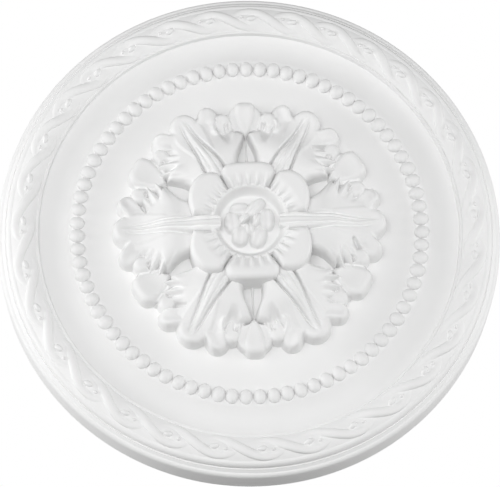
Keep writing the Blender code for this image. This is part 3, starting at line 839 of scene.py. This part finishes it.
def bud():
    """The bud in its bowl, as a fine polar grid that reaches under the petals."""
    radii = np.linspace(BUD_REACH, BUD_MIDDLE, BUD_ROWS)
    turns = np.arange(BUD_SIDES) * 2 * math.pi / BUD_SIDES
    rings = []
    for radius in [BUD_REACH] + list(radii):
        x = radius * np.cos(turns)
        y = radius * np.sin(turns)
        h = bud_height(x, y) if rings else np.full(BUD_SIDES, SUNK)
        rings.append(list(zip(x * REACH, -(FIELD_HEIGHT + h * RISE), y * REACH)))
    return new_piece("flower_bud", *swept(rings))


# Material, light and camera


def add_node(nodes, kind, values=()):
    """A shader node with constants set on its sockets."""
    node = nodes.new(kind)
    for socket, value in values:
        node.inputs[socket].default_value = value
    return node


def link_all(links, pairs):
    """Links each output to its input."""
    for output, socket in pairs:
        links.new(output, socket)


def white_cast():
    """Matt white casting compound with a faint grain and uneven tone."""
    material = bpy.data.materials.new("white_cast_finish")
    material.use_nodes = True
    nodes = material.node_tree.nodes
    shader = nodes["Principled BSDF"]
    shader.inputs["Specular IOR Level"].default_value = 0.35
    place = nodes.new("ShaderNodeTexCoord")
    cloud = add_node(nodes, "ShaderNodeTexNoise", (("Scale", 16), ("Detail", 5)))
    tone = nodes.new("ShaderNodeValToRGB")
    for element, (position, color) in zip(tone.color_ramp.elements, CAST_TONES):
        element.position = position
        element.color = color
    smoother, rougher = CAST_ROUGHNESS
    rough = add_node(nodes, "ShaderNodeMapRange", (("To Min", smoother), ("To Max", rougher)))
    grain = add_node(nodes, "ShaderNodeTexNoise", (("Scale", 900), ("Detail", 3)))
    bump = add_node(nodes, "ShaderNodeBump", (("Strength", 0.10), ("Distance", 0.0002)))
    pairs = (
        (place.outputs["Object"], cloud.inputs["Vector"]),
        (place.outputs["Object"], grain.inputs["Vector"]),
        (cloud.outputs["Fac"], tone.inputs["Fac"]),
        (cloud.outputs["Fac"], rough.inputs["Value"]),
        (tone.outputs["Color"], shader.inputs["Base Color"]),
        (rough.outputs["Result"], shader.inputs["Roughness"]),
        (grain.outputs["Fac"], bump.inputs["Height"]),
        (bump.outputs["Normal"], shader.inputs["Normal"]),
    )
    link_all(material.node_tree.links, pairs)
    return material


def soft_light(name, place, size, power):
    """A rectangular soft box that faces the origin, the middle of the rose's back."""
    lamp = bpy.data.lights.new(name, "AREA")
    lamp.shape = "RECTANGLE"
    lamp.size, lamp.size_y = size
    lamp.energy = power
    light = bpy.data.objects.new(name, lamp)
    bpy.context.scene.collection.objects.link(light)
    light.location = place
    light.rotation_euler = (-Vector(place)).to_track_quat("-Z", "Y").to_euler()


def surround():
    """A white world that lights the rose from round the horizon and looks plain white itself."""
    world = bpy.data.worlds.new("surround")
    world.use_nodes = True
    nodes = world.node_tree.nodes
    glow = nodes["Background"]
    glow.inputs["Color"].default_value = WHITE
    bearing = nodes.new("ShaderNodeTexCoord")
    axes = nodes.new("ShaderNodeSeparateXYZ")
    slant = nodes.new("ShaderNodeMath")
    slant.operation = "ABSOLUTE"
    fade = (("From Max", SURROUND_DIM_FROM), ("To Min", SURROUND_BRIGHT), ("To Max", SURROUND_DIM))
    strength = add_node(nodes, "ShaderNodeMapRange", fade)
    strength.interpolation_type = "SMOOTHSTEP"
    backdrop = add_node(nodes, "ShaderNodeBackground", (("Color", WHITE), ("Strength", 1.0)))
    ray = nodes.new("ShaderNodeLightPath")
    mix = nodes.new("ShaderNodeMixShader")
    pairs = (
        (bearing.outputs["Generated"], axes.inputs[0]),
        (axes.outputs["Z"], slant.inputs[0]),
        (slant.outputs[0], strength.inputs["Value"]),
        (strength.outputs["Result"], glow.inputs["Strength"]),
        (ray.outputs["Is Camera Ray"], mix.inputs[0]),
        (glow.outputs[0], mix.inputs[1]),
        (backdrop.outputs[0], mix.inputs[2]),
        (mix.outputs[0], nodes["World Output"].inputs["Surface"]),
    )
    link_all(world.node_tree.links, pairs)
    return world


def studio():
    """The surround, and soft light from both sides and the front."""
    scene = bpy.context.scene
    scene.view_settings.view_transform = "Standard"
    scene.world = surround()
    for box in SOFT_BOXES:
        soft_light(*box)


def floor():
    """A pale floor well below the rose."""
    plan = ((-1, -1), (1, -1), (1, 1), (-1, 1))
    corners = [(x * FLOOR_HALF, y * FLOOR_HALF, FLOOR_LEVEL) for x, y in plan]
    piece = new_piece("floor", corners, [(0, 1, 2, 3)], smooth=False)
    material = bpy.data.materials.new("pale_floor")
    material.use_nodes = True
    shader = material.node_tree.nodes["Principled BSDF"]
    shader.inputs["Base Color"].default_value = PALE_GREY
    shader.inputs["Roughness"].default_value = 0.9
    piece.data.materials.append(material)


def camera():
    """The photograph's view: from below, nearly square on, with a long lens."""
    distance = DISTANCE * OUTER_RADIUS
    side = math.sin(OFF_AXIS) * distance
    aim = Vector((AIM[0] * OUTER_RADIUS, 0, AIM[1] * OUTER_RADIUS))
    lens = bpy.data.cameras.new("photo_camera")
    lens.sensor_width = SENSOR
    lens.lens = LENS
    lens.clip_end = CLIP_END
    eye = bpy.data.objects.new("photo_camera", lens)
    bpy.context.scene.collection.objects.link(eye)
    eye.location = (side * math.cos(BEARING), -math.cos(OFF_AXIS) * distance, side * math.sin(BEARING))
    eye.rotation_euler = (aim - eye.location).to_track_quat("-Z", "Y").to_euler()
    bpy.context.scene.camera = eye


def dress(pieces):
    """Gives every piece the cast's finish and lets it stand for the solid."""
    finish = white_cast()
    for piece in pieces:
        piece.data.materials.append(finish)
        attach(piece, "root")
        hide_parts(NODE)


camera()
studio()
floor()
dress([moulded_rings(), rope_band(), bead_ring(), bud()] + main_leaves() + back_leaves() + petals())
